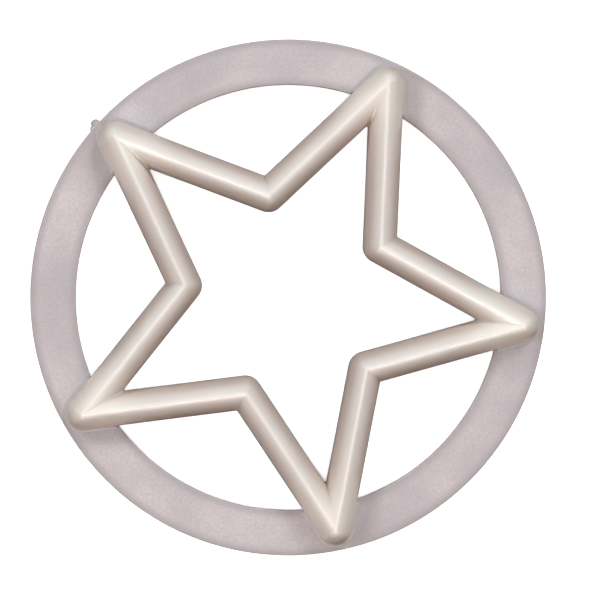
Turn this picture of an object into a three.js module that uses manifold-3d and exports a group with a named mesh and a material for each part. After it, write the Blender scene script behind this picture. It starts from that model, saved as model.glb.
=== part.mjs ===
// Star stamp: a flat carrier ring, a ridged five-pointed star die that fills its opening and laps
// its face, and the five thin bond pads that hold the star's points to the ring.
// Millimetres, +Z up. The origin is the centre of the flat back, and +Z leaves the stamping side.
import * as THREE from "three";
import { ParametricGeometry } from "three/addons/geometries/ParametricGeometry.js";
import { mergeVertices } from "three/addons/utils/BufferGeometryUtils.js";
import Module from "manifold-3d";

// Carrier ring
const RING_RADIUS = 45;
const RING_WIDTH = 7.9;
const RING_THICKNESS = 2;
const RING_EDGE_ROUND = 0.3;

// Star die: its ridge line is a star polygon, and the rail under that line is an ogive
const POINTS = 5;
const TIP_RADIUS = 41;
const VALLEY_RADIUS = 18.2;
const FIRST_TIP_ANGLE = THREE.MathUtils.degToRad(65.3);
const RAIL_WIDTH = 5.9;
const RAIL_HEIGHT = 5.1; // from the ring's face to the ridge
const RIDGE_RADIUS = 0.35;
const FOOT_CHAMFER = 0.3;

// Lap joint between the star's points and the ring
const PAD_THICKNESS = 0.2;
const PAD_INSET = 0.5;
const LAP_CLEARANCE = 0.3;

// Gate stub that moulding left on the rim, beside one star point
const GATE_TIP = 1;
const GATE_DIAMETER = 1.6;
const GATE_LENGTH = 1.1; // how far it stands out of the rim
const GATE_ROOT = 1; // how far it starts inside the rim

// Facets
const RING_CURVE_SEGMENTS = 48; // for each half turn
const ARC_DIVISIONS = 4; // for each half of an arc
const TIP_STEPS = 12;
const VALLEY_STEPS = 6;
const GATE_SEGMENTS = 16;

const RING_INNER_RADIUS = RING_RADIUS - RING_WIDTH;
const HALF_RAIL = RAIL_WIDTH / 2;
const LAP_HEIGHT = RING_THICKNESS + PAD_THICKNESS;

const ringPlastic = new THREE.MeshStandardMaterial({ color: 0xc8bec0, roughness: 0.45, metalness: 0 });
const dieRubber = new THREE.MeshStandardMaterial({ color: 0xebe4d8, roughness: 0.35, metalness: 0 });
const padAdhesive = new THREE.MeshStandardMaterial({ color: 0xe6e2d6, roughness: 0.6, metalness: 0 });

const wasm = await Module();
wasm.setup();

function polar(radius, angle) {
  return new THREE.Vector2(radius * Math.cos(angle), radius * Math.sin(angle));
}

// A closed three.js geometry as a manifold-3d solid.
function solidOf(geometry) {
  geometry.deleteAttribute("normal");
  geometry.deleteAttribute("uv");
  const merged = mergeVertices(geometry);
  const vertProperties = merged.attributes.position.array;
  const triVerts = new Uint32Array(merged.index.array);
  return new wasm.Manifold(new wasm.Mesh({ numProp: 3, vertProperties, triVerts }));
}

// A manifold-3d solid as a named mesh.
function meshOf(name, solid, material) {
  const { vertProperties, triVerts } = solid.getMesh();
  const geometry = new THREE.BufferGeometry();
  geometry.setAttribute("position", new THREE.BufferAttribute(vertProperties, 3));
  geometry.setIndex(new THREE.BufferAttribute(triVerts, 1));
  geometry.computeVertexNormals();
  const mesh = new THREE.Mesh(geometry, material);
  mesh.name = name;
  return mesh;
}

// A flat washer between two radii, standing from z = bottom to z = top.
function washer(innerRadius, outerRadius, bottom, top, edgeRound = 0) {
  const outline = new THREE.Shape().absarc(0, 0, outerRadius, 0, 2 * Math.PI, false);
  outline.holes.push(new THREE.Path().absarc(0, 0, innerRadius, 0, 2 * Math.PI, true));
  const geometry = new THREE.ExtrudeGeometry(outline, {
    depth: top - bottom - 2 * edgeRound,
    curveSegments: RING_CURVE_SEGMENTS,
    bevelEnabled: edgeRound > 0,
    bevelSize: edgeRound,
    bevelThickness: edgeRound,
    bevelOffset: -edgeRound,
    bevelSegments: 2,
  });
  return solidOf(geometry.translate(0, 0, bottom + edgeRound));
}

// Where the rail's section stands, counter-clockwise round the ridge line: at each corner it turns
// in steps from square with one rail to square with the next. Out of the star, a point on the
// outside of the turn goes along the normal, and one on the inside along the longer mitre.
function ridgeStations() {
  const corners = Array.from({ length: 2 * POINTS }, (_, i) =>
    polar(i % 2 ? VALLEY_RADIUS : TIP_RADIUS, FIRST_TIP_ANGLE + (i * Math.PI) / POINTS),
  );
  const outward = corners.map((corner, i) => {
    const next = corners[(i + 1) % corners.length];
    return next.clone().sub(corner).angle() - Math.PI / 2;
  });
  return corners.flatMap((corner, i) => {
    const start = outward.at(i - 1);
    const turn = THREE.MathUtils.euclideanModulo(outward[i] - start + Math.PI, 2 * Math.PI) - Math.PI;
    const mitre = polar(1 / Math.cos(turn / 2), start + turn / 2);
    const steps = turn > 0 ? TIP_STEPS : VALLEY_STEPS;
    return Array.from({ length: steps + 1 }, (_, step) => {
      const normal = polar(1, start + (turn * step) / steps);
      return { corner, turn, mitre, normal };
    });
  });
}

// Sweeps a closed section round the ridge line. A section's points run counter-clockwise, each as
// (distance out of the star from the ridge line, height).
function sweepRidge(section) {
  const stations = ridgeStations();
  const surface = (u, v, target) => {
    const station = stations[Math.round(u * stations.length) % stations.length];
    const { x: out, y: height } = section[Math.round(v * section.length) % section.length];
    const way = out * station.turn > 0 ? station.normal : station.mitre;
    const place = station.corner.clone().addScaledVector(way, out);
    target.set(place.x, place.y, height);
  };
  return solidOf(new ParametricGeometry(surface, stations.length, section.length));
}

// The rail's section: a straight foot as deep as the ring, then two flank arcs that lean together
// and touch the small arc of the ridge.
function railSection() {
  const ridge = RAIL_HEIGHT - RIDGE_RADIUS;
  const flank = (ridge ** 2 + HALF_RAIL ** 2 - RIDGE_RADIUS ** 2) / (2 * (HALF_RAIL - RIDGE_RADIUS));
  const lean = Math.atan2(ridge, flank - HALF_RAIL);
  const section = new THREE.Path();
  section.moveTo(HALF_RAIL - FOOT_CHAMFER, 0);
  section.lineTo(HALF_RAIL, FOOT_CHAMFER);
  section.lineTo(HALF_RAIL, RING_THICKNESS);
  section.absarc(HALF_RAIL - flank, RING_THICKNESS, flank, 0, lean, false);
  section.absarc(0, RING_THICKNESS + ridge, RIDGE_RADIUS, lean, Math.PI - lean, false);
  section.absarc(flank - HALF_RAIL, RING_THICKNESS, flank, Math.PI - lean, Math.PI, false);
  section.lineTo(-HALF_RAIL, FOOT_CHAMFER);
  section.lineTo(FOOT_CHAMFER - HALF_RAIL, 0);
  return section.getPoints(ARC_DIVISIONS);
}

// A short domed stub that points out of the rim at one of the star's points.
function gateStub() {
  const radius = GATE_DIAMETER / 2;
  const length = GATE_ROOT + GATE_LENGTH;
  const profile = new THREE.Path();
  profile.moveTo(0, 0);
  profile.lineTo(radius, 0);
  profile.lineTo(radius, length - radius);
  profile.absarc(0, length - radius, radius, 0, Math.PI / 2, false);
  const geometry = new THREE.LatheGeometry(profile.getPoints(ARC_DIVISIONS), GATE_SEGMENTS);
  geometry.translate(0, RING_RADIUS - GATE_ROOT, 0);
  geometry.rotateZ(FIRST_TIP_ANGLE + (GATE_TIP * 2 * Math.PI) / POINTS - Math.PI / 2);
  return solidOf(geometry.translate(0, 0, RING_THICKNESS / 2));
}

function carrierRing() {
  const ring = washer(RING_INNER_RADIUS, RING_RADIUS, 0, RING_THICKNESS, RING_EDGE_ROUND);
  return meshOf("carrier_ring", ring.add(gateStub()), ringPlastic);
}

// The star's points are cut away underneath, so that they lap the ring and its pads.
function starDie() {
  const lap = washer(RING_INNER_RADIUS - LAP_CLEARANCE, RING_RADIUS + RAIL_WIDTH, -1, LAP_HEIGHT);
  return meshOf("star_die", sweepRidge(railSection()).subtract(lap), dieRubber);
}

// One pad lies under each point: the footprint that ring and star share, drawn in all round.
function bondPads() {
  const reach = HALF_RAIL - PAD_INSET;
  const band = sweepRidge([
    new THREE.Vector2(reach, RING_THICKNESS),
    new THREE.Vector2(reach, LAP_HEIGHT),
    new THREE.Vector2(-reach, LAP_HEIGHT),
    new THREE.Vector2(-reach, RING_THICKNESS),
  ]);
  const land = washer(RING_INNER_RADIUS + PAD_INSET, RING_RADIUS, 0, RING_THICKNESS + LAP_HEIGHT);
  const pointOf = (pad) => {
    const { min, max } = pad.boundingBox();
    const turn = new THREE.Vector2(min[0] + max[0], min[1] + max[1]).angle() - FIRST_TIP_ANGLE;
    return Math.round((turn * POINTS) / (2 * Math.PI) + POINTS) % POINTS;
  };
  return band
    .intersect(land)
    .decompose()
    .sort((a, b) => pointOf(a) - pointOf(b))
    .map((pad, i) => meshOf(`bond_pad_${i + 1}`, pad, padAdhesive));
}

const stamp = new THREE.Group();
stamp.add(carrierRing(), starDie(), ...bondPads());

export default stamp;
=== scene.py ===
# The star-in-ring stamp, lying on its flat back, seen from straight above its ridges.
# Metres, in the row frame: the origin is the centre of the back, and +Z leaves the stamping side.
import math

import bmesh
import bpy
from mathutils import Matrix, Vector, noise


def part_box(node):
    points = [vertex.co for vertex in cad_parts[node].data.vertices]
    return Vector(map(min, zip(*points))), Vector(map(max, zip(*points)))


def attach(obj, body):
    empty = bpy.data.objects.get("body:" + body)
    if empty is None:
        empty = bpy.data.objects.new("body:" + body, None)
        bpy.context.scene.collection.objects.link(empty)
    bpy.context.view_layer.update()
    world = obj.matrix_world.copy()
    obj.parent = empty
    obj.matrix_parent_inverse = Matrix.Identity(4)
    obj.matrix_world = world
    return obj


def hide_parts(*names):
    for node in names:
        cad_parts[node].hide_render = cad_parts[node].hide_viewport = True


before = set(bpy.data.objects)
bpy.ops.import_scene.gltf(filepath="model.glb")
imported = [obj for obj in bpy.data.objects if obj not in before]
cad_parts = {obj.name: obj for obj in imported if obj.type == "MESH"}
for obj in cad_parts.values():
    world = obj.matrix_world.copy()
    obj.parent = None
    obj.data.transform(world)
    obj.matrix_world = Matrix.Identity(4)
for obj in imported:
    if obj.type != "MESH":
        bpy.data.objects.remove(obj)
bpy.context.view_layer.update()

MM = 0.001

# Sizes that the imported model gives
RING_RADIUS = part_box("carrier_ring")[1].x
FACE_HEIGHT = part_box("carrier_ring")[1].z
RIDGE_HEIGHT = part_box("star_die")[1].z
PAD_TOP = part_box("bond_pad_1")[1].z

# Ring
RING_WIDTH = 7.9 * MM
RING_INNER_RADIUS = RING_RADIUS - RING_WIDTH
RING_EDGE_ROUND = 0.28 * MM
RING_STEPS = 360
RING_EDGE_STEPS = 6
RING_FACE_STEPS = 12

# Star
POINTS = 5
TIP_RADIUS = 41 * MM
VALLEY_RADIUS = 18.2 * MM
FIRST_TIP_ANGLE = math.radians(65.3)
HALF_RAIL = 2.95 * MM
RIDGE_ROUND = 0.35 * MM
FOOT_ROUND = 0.28 * MM
CREASE_ROUND_AT_RIDGE = 0.05 * MM
CREASE_ROUND_GROWTH = 0.05  # how much rounder a crease gets for each unit away from the ridge
CREASE_ROUND_MIDWAY = 0.12 * MM
LAP_CLEARANCE = 0.3 * MM
TIP_STEPS = 36
VALLEY_STEPS = 18
RAIL_STEPS = 16
FLANK_STEPS = 26
SMALL_ARC_STEPS = 5

# Bond pads: a film under each point, and the fillet that was pressed out round the point
FILM_INSET = 0.5 * MM
FILM_SINK = 0.02 * MM
FILLET_REACH = 0.6 * MM
FILLET_CLIMB = 0.6 * MM
FILLET_SINK = 0.12 * MM  # how far the fillet reaches into the flank
FILLET_STEPS = 12

# Gate stub
GATE_TIP = 1
GATE_RADIUS = 0.8 * MM
GATE_REACH = 1.05 * MM
GATE_ROUGHNESS = 0.14 * MM

# Camera: a long lens almost square to the back
CAMERA_DISTANCE = 0.6
CAMERA_LEAN_X = math.radians(-2)
CAMERA_LEAN_Y = math.radians(0.5)
CAMERA_AIM = Vector((1.94 * MM, -0.42 * MM, 2 * MM))
CAMERA_LENS = 206.5

# Floor and light
FLOOR_REACH = 3
FLOOR_DROP = 0.02 * MM
LIGHT_DISTANCE = 1.4
SOFTBOX = (0.5, 0.3)
SMALL_SOFTBOX = (0.4, 0.3)
WIDE_SOFTBOX = (2.4, 0.5)

# Meshes
MERGE_DISTANCE = 1e-7
SHARP_ANGLE = math.radians(35)


def polar(radius, angle):
    return Vector((radius * math.cos(angle), radius * math.sin(angle)))


def arc(centre, radius, start, end, steps):
    """Points of a circular arc, both ends included."""
    angles = (start + (end - start) * i / steps for i in range(steps + 1))
    return [Vector(centre) + polar(radius, angle) for angle in angles]


def linked(name, work):
    """An object in the scene with the mesh that work holds. It frees work."""
    mesh = bpy.data.meshes.new(name)
    work.to_mesh(mesh)
    work.free()
    piece = bpy.data.objects.new(name, mesh)
    bpy.context.scene.collection.objects.link(piece)
    return piece


def new_piece(name, verts, faces):
    """An object from points and faces, with doubled points merged and its faces turned outwards."""
    draft = bpy.data.meshes.new("draft")
    draft.from_pydata(verts, [], faces)
    work = bmesh.new()
    work.from_mesh(draft)
    bpy.data.meshes.remove(draft)
    bmesh.ops.remove_doubles(work, verts=work.verts, dist=MERGE_DISTANCE)
    bmesh.ops.recalc_face_normals(work, faces=work.faces)
    return linked(name, work)


def closed_grid(rows):
    """The points and quads of a grid that closes on itself both ways, like a bent tube."""
    count, size = len(rows), len(rows[0])
    verts = [point for row in rows for point in row]
    faces = []
    for i in range(count):
        here, ahead = i * size, (i + 1) % count * size
        for j in range(size):
            after = (j + 1) % size
            faces.append((here + j, ahead + j, ahead + after, here + after))
    return verts, faces


def lathed(name, section):
    """A closed section of (radius, height) points turned about Z."""
    turns = [2 * math.pi * i / RING_STEPS for i in range(RING_STEPS)]
    rows = [[(*polar(radius, turn), height) for radius, height in section] for turn in turns]
    return new_piece(name, *closed_grid(rows))


def washer(name, inner, outer, bottom, top):
    return lathed(name, [(inner, bottom), (outer, bottom), (outer, top), (inner, top)])


def ridge_corners():
    radii = [VALLEY_RADIUS if i % 2 else TIP_RADIUS for i in range(2 * POINTS)]
    return [polar(radius, FIRST_TIP_ANGLE + math.pi * i / POINTS) for i, radius in enumerate(radii)]


def ridge_turns():
    """For each corner of the ridge line: the corner, the outward angle before it, and the turn."""
    corners = ridge_corners()
    outward = []
    for i, corner in enumerate(corners):
        along = corners[(i + 1) % len(corners)] - corner
        outward.append(math.atan2(along.y, along.x) - math.pi / 2)
    turns = []
    for i, corner in enumerate(corners):
        turn = (outward[i] - outward[i - 1] + math.pi) % (2 * math.pi) - math.pi
        turns.append((corner, outward[i - 1], turn))
    return turns


def corner_arc(corner, start, turn, out):
    """One level of the rail round one corner. The corner's outside swings about the ridge line, and
    its inside is a crease whose rounding grows away from the ridge."""
    steps = TIP_STEPS if turn > 0 else VALLEY_STEPS
    side = math.copysign(1, turn)
    normals = [polar(1, start + turn * i / steps) for i in range(steps + 1)]
    if out * side >= 0:
        return [corner + normal * out for normal in normals]
    share = min(1, abs(out) / HALF_RAIL)
    rounding = CREASE_ROUND_AT_RIDGE + CREASE_ROUND_GROWTH * abs(out)
    rounding += CREASE_ROUND_MIDWAY * math.sin(math.pi * share) ** 2
    mitre = polar(1 / math.cos(turn / 2), start + turn / 2)
    centre = corner + mitre * (out - side * rounding)
    return [centre + normal * side * rounding for normal in normals]


def swept_star(name, section):
    """A closed section of (distance out of the star from the ridge line, height) points, carried
    round the star."""
    turns = ridge_turns()
    levels = []
    for out, height in section:
        arcs = [corner_arc(*turn, out) for turn in turns]
        places = []
        for i, places_here in enumerate(arcs):
            end, start = places_here[-1], arcs[(i + 1) % len(arcs)][0]
            places += places_here
            places += [end.lerp(start, step / RAIL_STEPS) for step in range(1, RAIL_STEPS)]
        levels.append([(*place, height) for place in places])
    return new_piece(name, *closed_grid(list(zip(*levels))))


def combine(piece, other, operation):
    """Joins or cuts piece with other, and removes other."""
    modifier = piece.modifiers.new("combine", "BOOLEAN")
    modifier.operation = operation
    modifier.solver = "EXACT"
    modifier.object = other
    bpy.context.view_layer.update()
    graph = bpy.context.evaluated_depsgraph_get()
    result = bpy.data.meshes.new_from_object(piece.evaluated_get(graph))
    piece.modifiers.clear()
    piece.data = result
    bpy.data.objects.remove(other)
    return piece


def smooth(piece):
    piece.data.shade_smooth()
    piece.data.set_sharp_from_angle(angle=SHARP_ANGLE)
    return piece


# ---- Shapes

def rail_section():
    """Two flank arcs that lean together and touch the small arc of the ridge, over a straight foot
    with rounded edges."""
    ridge = RIDGE_HEIGHT - FACE_HEIGHT - RIDGE_ROUND
    flank = (ridge**2 + HALF_RAIL**2 - RIDGE_ROUND**2) / (2 * (HALF_RAIL - RIDGE_ROUND))
    lean = math.atan2(ridge, flank - HALF_RAIL)
    foot_centre = (HALF_RAIL - FOOT_ROUND, FOOT_ROUND)
    foot = arc(foot_centre, FOOT_ROUND, -math.pi / 2, 0, SMALL_ARC_STEPS)
    side = arc((HALF_RAIL - flank, FACE_HEIGHT), flank, 0, lean, FLANK_STEPS)
    crest = arc((0, FACE_HEIGHT + ridge), RIDGE_ROUND, lean, math.pi / 2, SMALL_ARC_STEPS)
    right = foot + side + crest[1:]
    left = [Vector((-point.x, point.y)) for point in reversed(right[:-1])]
    return right + left


def build_star():
    star = swept_star("star_die_moulding", rail_section())
    lap = washer("lap", RING_INNER_RADIUS - LAP_CLEARANCE, RING_RADIUS + HALF_RAIL, -MM, PAD_TOP)
    return smooth(combine(star, lap, "DIFFERENCE"))


def ring_section():
    """A flat bar with four rounded edges, whose upper face has points along it."""
    inner, outer, edge = RING_INNER_RADIUS, RING_RADIUS, RING_EDGE_ROUND
    corners = [
        ((outer - edge, edge), -math.pi / 2),
        ((outer - edge, FACE_HEIGHT - edge), 0),
        ((inner + edge, FACE_HEIGHT - edge), math.pi / 2),
        ((inner + edge, edge), math.pi),
    ]
    edges = [
        arc(centre, edge, start, start + math.pi / 2, RING_EDGE_STEPS) for centre, start in corners
    ]
    step = (RING_WIDTH - 2 * edge) / RING_FACE_STEPS
    face = [Vector((outer - edge - step * i, FACE_HEIGHT)) for i in range(1, RING_FACE_STEPS)]
    return edges[0] + edges[1] + face + edges[2] + edges[3]


def lump(name, radii, seed, roughness):
    """An ellipsoid with an uneven skin, about its own centre."""
    work = bmesh.new()
    bmesh.ops.create_icosphere(work, subdivisions=5, radius=1)
    for vert in work.verts:
        way = vert.co.normalized()
        coarse = noise.noise(way * 2.2 + Vector((seed, 0.3, 7.7)))
        fine = noise.noise(way * 6 + Vector((0, seed, 0)))
        skin = Vector((way.x * radii[0], way.y * radii[1], way.z * radii[2]))
        vert.co = skin + way * roughness * (coarse + 0.5 * fine)
    return linked(name, work)


def build_gate():
    """The torn stub on the rim: a lumpy head, the foot behind it, and a low blister on the face."""
    tip = FIRST_TIP_ANGLE + GATE_TIP * 2 * math.pi / POINTS
    head = (GATE_RADIUS, GATE_RADIUS, 0.95 * GATE_RADIUS)
    foot = (0.9 * GATE_RADIUS, 1.1 * GATE_RADIUS, 0.8 * GATE_RADIUS)
    blister = (0.7 * GATE_RADIUS, 0.7 * GATE_RADIUS, 0.35 * GATE_RADIUS)
    lumps = [
        (head, RING_RADIUS + GATE_REACH - GATE_RADIUS, 0.7, 0.55 * FACE_HEIGHT, 4.1),
        (foot, RING_RADIUS - 0.3 * GATE_RADIUS, 1.7, 0.6 * FACE_HEIGHT, 9.6),
        (blister, RING_RADIUS - 1.1 * GATE_RADIUS, -0.6, FACE_HEIGHT, 2.3),
    ]
    gate = None
    for radii, radius, turn, height, seed in lumps:
        part = lump("gate", radii, seed, GATE_ROUGHNESS)
        angle = tip + math.radians(turn)
        place = Vector((*polar(radius, angle), height))
        part.data.transform(Matrix.Translation(place) @ Matrix.Rotation(angle, 4, "Z"))
        gate = combine(gate, part, "UNION") if gate else part
    return gate


def build_ring():
    ring = lathed("carrier_ring_moulding", ring_section())
    return smooth(combine(ring, build_gate(), "UNION"))


def film_section():
    """The pad's film, and on its outer side the hollow fillet that was pressed out against the
    star's flank."""
    inner, outer = FILM_INSET - HALF_RAIL, HALF_RAIL + FILLET_REACH
    bottom, top = FACE_HEIGHT - FILM_SINK, FACE_HEIGHT + FILLET_CLIMB
    section = [Vector((inner, bottom)), Vector((outer, bottom))]
    for i in range(FILLET_STEPS + 1):
        turn = math.pi / 2 * i / FILLET_STEPS
        rise = FILLET_CLIMB * (1 - math.cos(turn))
        section.append(Vector((outer - FILLET_REACH * math.sin(turn), FACE_HEIGHT + rise)))
    buried = HALF_RAIL - FILLET_SINK
    section += [Vector((buried, top)), Vector((buried, PAD_TOP)), Vector((inner, PAD_TOP))]
    return section


def build_pads():
    """One pad under each point, in the order of the points."""
    films = swept_star("bond_pads", film_section())
    land = washer("land", RING_INNER_RADIUS + FILM_INSET, RING_RADIUS, 0, RIDGE_HEIGHT)
    combine(films, land, "INTERSECT")
    work = bmesh.new()
    work.from_mesh(films.data)
    bpy.data.objects.remove(films)
    pads = []
    for i in range(POINTS):
        facing = polar(1, FIRST_TIP_ANGLE + 2 * math.pi * i / POINTS)
        part = work.copy()
        away = [v for v in part.verts if v.co.xy.normalized().dot(facing) < math.cos(math.pi / POINTS)]
        bmesh.ops.delete(part, geom=away, context="VERTS")
        pads.append(smooth(linked(f"bond_pad_{i + 1}_adhesive", part)))
    work.free()
    return pads


# ---- Materials

class Shader:
    """A Principled material that is put together by short calls."""

    def __init__(self, name, **sockets):
        self.material = bpy.data.materials.new(name)
        self.material.use_nodes = True
        self.nodes = self.material.node_tree.nodes
        self.links = self.material.node_tree.links
        self.principled = self.nodes["Principled BSDF"]
        for socket, value in sockets.items():
            self.principled.inputs[socket.replace("_", " ")].default_value = value
        self.place = self.nodes.new("ShaderNodeTexCoord").outputs["Object"]

    def put(self, value, socket):
        if isinstance(value, bpy.types.NodeSocket):
            self.links.new(value, socket)
        else:
            socket.default_value = value

    def math(self, operation, *values):
        node = self.nodes.new("ShaderNodeMath")
        node.operation = operation
        for value, socket in zip(values, node.inputs):
            self.put(value, socket)
        return node.outputs[0]

    def vector(self, operation, *values):
        node = self.nodes.new("ShaderNodeVectorMath")
        node.operation = operation
        for value, socket in zip(values, node.inputs):
            self.put(value, socket)
        return node.outputs["Value" if operation == "LENGTH" else "Vector"]

    def ramp(self, value, low, high, to_low=0.0, to_high=1.0):
        node = self.nodes.new("ShaderNodeMapRange")
        node.interpolation_type = "SMOOTHSTEP"
        for item, socket in zip((value, low, high, to_low, to_high), node.inputs):
            self.put(item, socket)
        return node.outputs[0]

    def mix(self, share, first, second):
        node = self.nodes.new("ShaderNodeMix")
        node.data_type = "RGBA"
        self.put(share, node.inputs[0])
        self.put(first, node.inputs[6])
        self.put(second, node.inputs[7])
        return node.outputs[2]

    def noise(self, size, detail=2.0, stretch=(1, 1, 1), turn=0.0):
        """Noise with features of about that size, in metres."""
        mapping = self.nodes.new("ShaderNodeMapping")
        self.put(self.place, mapping.inputs["Vector"])
        mapping.inputs["Rotation"].default_value = (0, 0, turn)
        mapping.inputs["Scale"].default_value = [s / size for s in stretch]
        node = self.nodes.new("ShaderNodeTexNoise")
        self.put(mapping.outputs[0], node.inputs["Vector"])
        node.inputs["Scale"].default_value = 1
        node.inputs["Detail"].default_value = detail
        return node.outputs["Fac"]

    def specks(self, spacing, radius, share):
        """Small round dots in a share of the cells of a random grid."""
        scaled = self.vector("MULTIPLY", self.place, [1 / spacing] * 3)
        node = self.nodes.new("ShaderNodeTexVoronoi")
        self.put(scaled, node.inputs["Vector"])
        node.inputs["Scale"].default_value = 1
        chosen = self.math("LESS_THAN", self.channel(node.outputs["Color"], 0), share)
        dot = self.ramp(node.outputs["Distance"], 0.6 * radius / spacing, radius / spacing, 1.0, 0.0)
        return self.math("MULTIPLY", chosen, dot)

    def channel(self, value, index):
        node = self.nodes.new("ShaderNodeSeparateXYZ")
        self.put(value, node.inputs[0])
        return node.outputs[index]

    def scratches(self, turn):
        """Rare hairlines at one slant: the middle level of a stretched noise, in some patches."""
        hair = self.noise(5 * MM, 1.0, (0.12, 9, 1), turn)
        patch = self.ramp(self.noise(9 * MM, 1.0, turn=turn), 0.5, 0.62)
        off_line = self.math("ABSOLUTE", self.math("SUBTRACT", hair, 0.5))
        line = self.ramp(off_line, 0.0, 0.012, 1.0, 0.0)
        return self.math("MULTIPLY", line, patch)

    def radius(self):
        """Distance from the upright axis."""
        return self.vector("LENGTH", self.vector("MULTIPLY", self.place, (1, 1, 0)))

    def height(self):
        return self.channel(self.place, 2)

    def bump(self, *layers):
        """Layers are (height, depth in metres)."""
        normal = None
        for height, depth in layers:
            node = self.nodes.new("ShaderNodeBump")
            node.inputs["Distance"].default_value = depth
            self.put(height, node.inputs["Height"])
            if normal:
                self.put(normal, node.inputs["Normal"])
            normal = node.outputs[0]
        self.put(normal, self.principled.inputs["Normal"])

    def finish(self, color, roughness):
        self.put(color, self.principled.inputs["Base Color"])
        self.put(roughness, self.principled.inputs["Roughness"])
        return self.material


def die_rubber():
    """Cream rubber with faint specks and hairlines. Painted shade darkens it towards the foot of the
    flanks, a painted highlight pales the ridge, and painted light pales the points."""
    shader = Shader(
        "die_rubber_cream",
        Subsurface_Weight=0.6,
        Subsurface_Radius=(1.0, 0.7, 0.6),
        Subsurface_Scale=1.3 * MM,
        IOR=1.48,
    )
    cream, cloud = (0.73, 0.69, 0.64, 1), (0.70, 0.66, 0.61, 1)
    # Painted shade and highlight: foot darkens the lower flanks, and crest pales the ridge.
    foot, crest = (0.55, 0.465, 0.41, 1), (0.77, 0.73, 0.69, 1)
    # Painted light: point makes the points paler and yellower.
    point, speck = (0.92, 0.89, 0.78, 1), (0.2, 0.16, 0.14, 1)
    height = shader.height()
    clouds = shader.ramp(shader.noise(6 * MM, 3.0), 0.35, 0.65)
    # Painted shade: the share of foot, growing down the flank.
    low = shader.ramp(height, RIDGE_HEIGHT - 2.2 * MM, RIDGE_HEIGHT + 0.1 * MM, 1.0, 0.0)
    # Painted highlight: the share of crest, at the top of the ridge.
    top = shader.ramp(height, RIDGE_HEIGHT - 0.3 * MM, RIDGE_HEIGHT - 0.04 * MM)
    # Painted light: the share of point, growing out towards the ends of the points.
    far = shader.ramp(shader.radius(), VALLEY_RADIUS + 11 * MM, TIP_RADIUS - 3 * MM, 0.0, 0.3)
    specks = shader.math("MULTIPLY", shader.specks(3.1 * MM, 0.07 * MM, 0.12), 0.5)
    color = shader.mix(clouds, cream, cloud)
    color = shader.mix(low, color, foot)
    color = shader.mix(top, color, crest)
    color = shader.mix(far, color, point)
    color = shader.mix(specks, color, speck)
    hairs = shader.math("ADD", shader.scratches(0.5), shader.scratches(2.1))
    shader.bump(
        (shader.noise(0.5 * MM, 2.0), 0.004 * MM),
        (shader.noise(3.5 * MM, 1.0), 0.05 * MM),
        (hairs, -0.004 * MM),
    )
    roughness = shader.ramp(shader.noise(2.2 * MM, 3.0), 0.3, 0.7, 0.32, 0.41)
    return shader.finish(color, roughness)


def carrier_plastic():
    """Lavender-grey plastic, faintly clouded, darker along both edges of the face, with pale hairlines
    and a few specks. Painted light makes its sides paler."""
    shader = Shader(
        "carrier_plastic_lavender",
        Subsurface_Weight=0.5,
        Subsurface_Radius=(1.0, 0.85, 0.85),
        Subsurface_Scale=1.2 * MM,
        IOR=1.49,
        Specular_IOR_Level=0.15,
    )
    body, cloud = (0.635, 0.582, 0.582, 1), (0.58, 0.532, 0.54, 1)
    patch, pore, rim = (0.39, 0.365, 0.385, 1), (0.36, 0.32, 0.32, 1), (0.42, 0.372, 0.375, 1)
    # Painted light: side is the paler colour on the ring's sides.
    side, dust, speck = (0.72, 0.66, 0.66, 1), (0.66, 0.62, 0.62, 1), (0.22, 0.19, 0.2, 1)
    radius = shader.radius()
    clouds = shader.ramp(shader.noise(3.2 * MM, 5.0), 0.25, 0.75)
    patches = shader.math("MULTIPLY", shader.ramp(shader.noise(16 * MM, 2.0), 0.3, 0.7), 0.5)
    grain = shader.math("MULTIPLY", shader.ramp(shader.noise(0.5 * MM, 2.0), 0.3, 0.7), 0.3)
    inner = shader.ramp(radius, RING_INNER_RADIUS, RING_INNER_RADIUS + 1.9 * MM, 1.0, 0.0)
    outer = shader.ramp(radius, RING_RADIUS - 1.8 * MM, RING_RADIUS)
    edges = shader.math("MAXIMUM", inner, outer)
    # Painted light: the share of side, on the ring's sides below the face but not on the gate.
    below = shader.ramp(shader.height(), FACE_HEIGHT - 0.3 * MM, FACE_HEIGHT - 0.1 * MM, 1.0, 0.0)
    within = shader.ramp(radius, RING_RADIUS + 0.02 * MM, RING_RADIUS + 0.15 * MM, 1.0, 0.0)
    painted_wall_light = shader.math("MULTIPLY", below, within)
    hairs = shader.math("ADD", shader.scratches(0.9), shader.scratches(2.5))
    faint_hairs = shader.math("MULTIPLY", hairs, 0.25)
    pale = shader.math("ADD", faint_hairs, shader.specks(2.3 * MM, 0.08 * MM, 0.2))
    color = shader.mix(clouds, body, cloud)
    color = shader.mix(patches, color, patch)
    color = shader.mix(grain, color, pore)
    color = shader.mix(edges, color, rim)
    color = shader.mix(painted_wall_light, color, side)
    color = shader.mix(shader.math("MULTIPLY", pale, 0.35), color, dust)
    color = shader.mix(shader.specks(6.5 * MM, 0.09 * MM, 0.15), color, speck)
    shader.bump(
        (shader.noise(0.35 * MM, 2.0), 0.004 * MM),
        (shader.noise(5 * MM, 1.0), 0.03 * MM),
        (hairs, -0.004 * MM),
    )
    roughness = shader.ramp(shader.noise(3 * MM, 3.0), 0.3, 0.7, 0.4, 0.52)
    return shader.finish(color, roughness)


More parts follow.
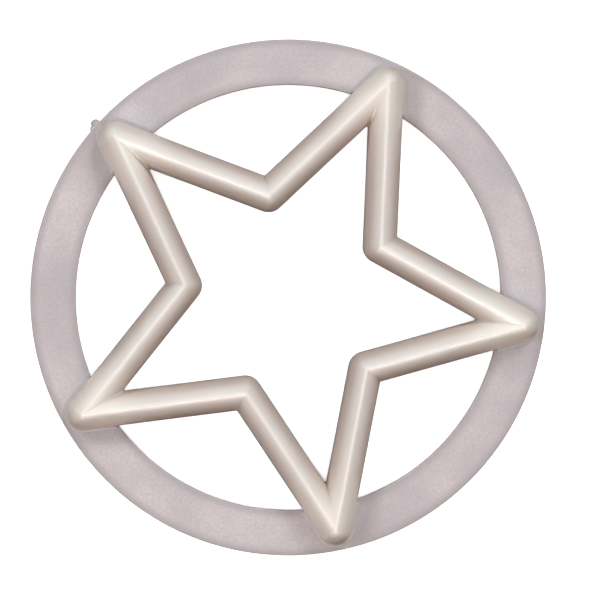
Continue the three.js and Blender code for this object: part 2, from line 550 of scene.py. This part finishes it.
def pad_adhesive():
    """Matt adhesive, as grey as the ring where it is thin and creamier where it climbs the star."""
    shader = Shader("pad_adhesive_cream", IOR=1.47)
    thin, thick = (0.41, 0.375, 0.38, 1), (0.55, 0.495, 0.44, 1)
    climb = shader.ramp(shader.height(), FACE_HEIGHT, FACE_HEIGHT + FILLET_CLIMB)
    color = shader.mix(climb, thin, thick)
    shader.bump((shader.noise(0.6 * MM, 2.0), 0.01 * MM))
    roughness = shader.ramp(shader.noise(1.5 * MM, 2.0), 0.3, 0.7, 0.7, 0.85)
    return shader.finish(color, roughness)


def dress(piece, material, slot, *nodes):
    """Gives a piece its material, hangs it on the root body, and hides the CAD nodes it stands for."""
    piece.data.materials.clear()
    piece.data.materials.append(material)
    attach(piece, "root")
    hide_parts(*nodes)


# ---- Camera, floor and light

def add_camera():
    camera = bpy.data.objects.new("camera", bpy.data.cameras.new("camera"))
    bpy.context.scene.collection.objects.link(camera)
    camera.data.lens = CAMERA_LENS
    camera.data.sensor_width = 36
    camera.data.clip_start = 0.01
    back = Vector((math.tan(CAMERA_LEAN_X), math.tan(CAMERA_LEAN_Y), 1)).normalized()
    right = Vector((0, 1, 0)).cross(back).normalized()
    turn = Matrix((right, back.cross(right), back)).transposed()
    camera.matrix_world = Matrix.Translation(CAMERA_AIM + back * CAMERA_DISTANCE) @ turn.to_4x4()
    bpy.context.scene.camera = camera


def add_floor():
    """White paper that glows a little, so that hardly any shadow shows on it."""
    corners = [(-1, -1), (1, -1), (1, 1), (-1, 1)]
    verts = [(x * FLOOR_REACH, y * FLOOR_REACH, 0) for x, y in corners]
    floor = new_piece("floor", verts, [(0, 1, 2, 3)])
    floor.location.z = -FLOOR_DROP
    paper = Shader("floor_white", Emission_Color=(1, 1, 1, 1), Emission_Strength=0.6)
    floor.data.materials.append(paper.finish((0.93, 0.93, 0.93, 1), 0.9))
    floor.visible_diffuse = False
    floor.visible_glossy = False


def add_light(name, azimuth, elevation, size, power, color, diffuse=True, glossy=False):
    """A softbox that looks at the stamp. Azimuth turns from +X towards +Y, and both angles are in
    degrees. A diffuse light shades the surfaces, and a glossy one gleams in them."""
    light = bpy.data.lights.new(name, "AREA")
    light.shape = "RECTANGLE"
    light.size, light.size_y = size
    light.energy = power
    light.color = color
    lamp = bpy.data.objects.new(name, light)
    bpy.context.scene.collection.objects.link(lamp)
    azimuth, elevation = math.radians(azimuth), math.radians(elevation)
    out = Vector((*polar(math.cos(elevation), azimuth), math.sin(elevation)))
    lamp.location = out * LIGHT_DISTANCE
    lamp.rotation_euler = out.to_track_quat("Z", "Y").to_euler()
    lamp.visible_diffuse = diffuse
    lamp.visible_glossy = glossy


def add_world():
    """Faint even light from above, none from below."""
    world = bpy.data.worlds.new("studio")
    world.use_nodes = True
    nodes, links = world.node_tree.nodes, world.node_tree.links
    place = nodes.new("ShaderNodeTexCoord")
    split = nodes.new("ShaderNodeSeparateXYZ")
    sky = nodes.new("ShaderNodeMapRange")
    sky.inputs["From Min"].default_value = -0.05
    sky.inputs["From Max"].default_value = 0.25
    sky.inputs["To Min"].default_value = 0.0
    sky.inputs["To Max"].default_value = 0.03
    links.new(place.outputs["Generated"], split.inputs[0])
    links.new(split.outputs["Z"], sky.inputs["Value"])
    links.new(sky.outputs[0], nodes["Background"].inputs["Strength"])
    nodes["Background"].inputs["Color"].default_value = (1, 1, 1, 1)
    bpy.context.scene.world = world


add_camera()
add_floor()
add_light("key", 55, 35, SOFTBOX, 10.6, (0.96, 0.98, 1))
add_light("back_left", 135, 32, SOFTBOX, 5.9, (0.96, 0.96, 1))
add_light("left", 180, 40, SOFTBOX, 7.5, (0.92, 0.95, 1))
add_light("right", 0, 40, SOFTBOX, 4.2, (0.88, 0.92, 1))
add_light("front", -90, 35, SOFTBOX, 1.7, (1, 0.35, 0.1))
add_light("top", -90, 75, SMALL_SOFTBOX, 6.2, (1, 0.97, 0.94))
add_light("sheen", -90, 30, WIDE_SOFTBOX, 84, (1, 0.97, 0.93), diffuse=False, glossy=True)
add_world()
bpy.context.scene.view_settings.view_transform = "Standard"

dress(build_ring(), carrier_plastic(), "carrier_plastic", "carrier_ring")
dress(build_star(), die_rubber(), "die_rubber", "star_die")
adhesive = pad_adhesive()
for number, pad in enumerate(build_pads(), 1):
    dress(pad, adhesive, "pad_adhesive", f"bond_pad_{number}")
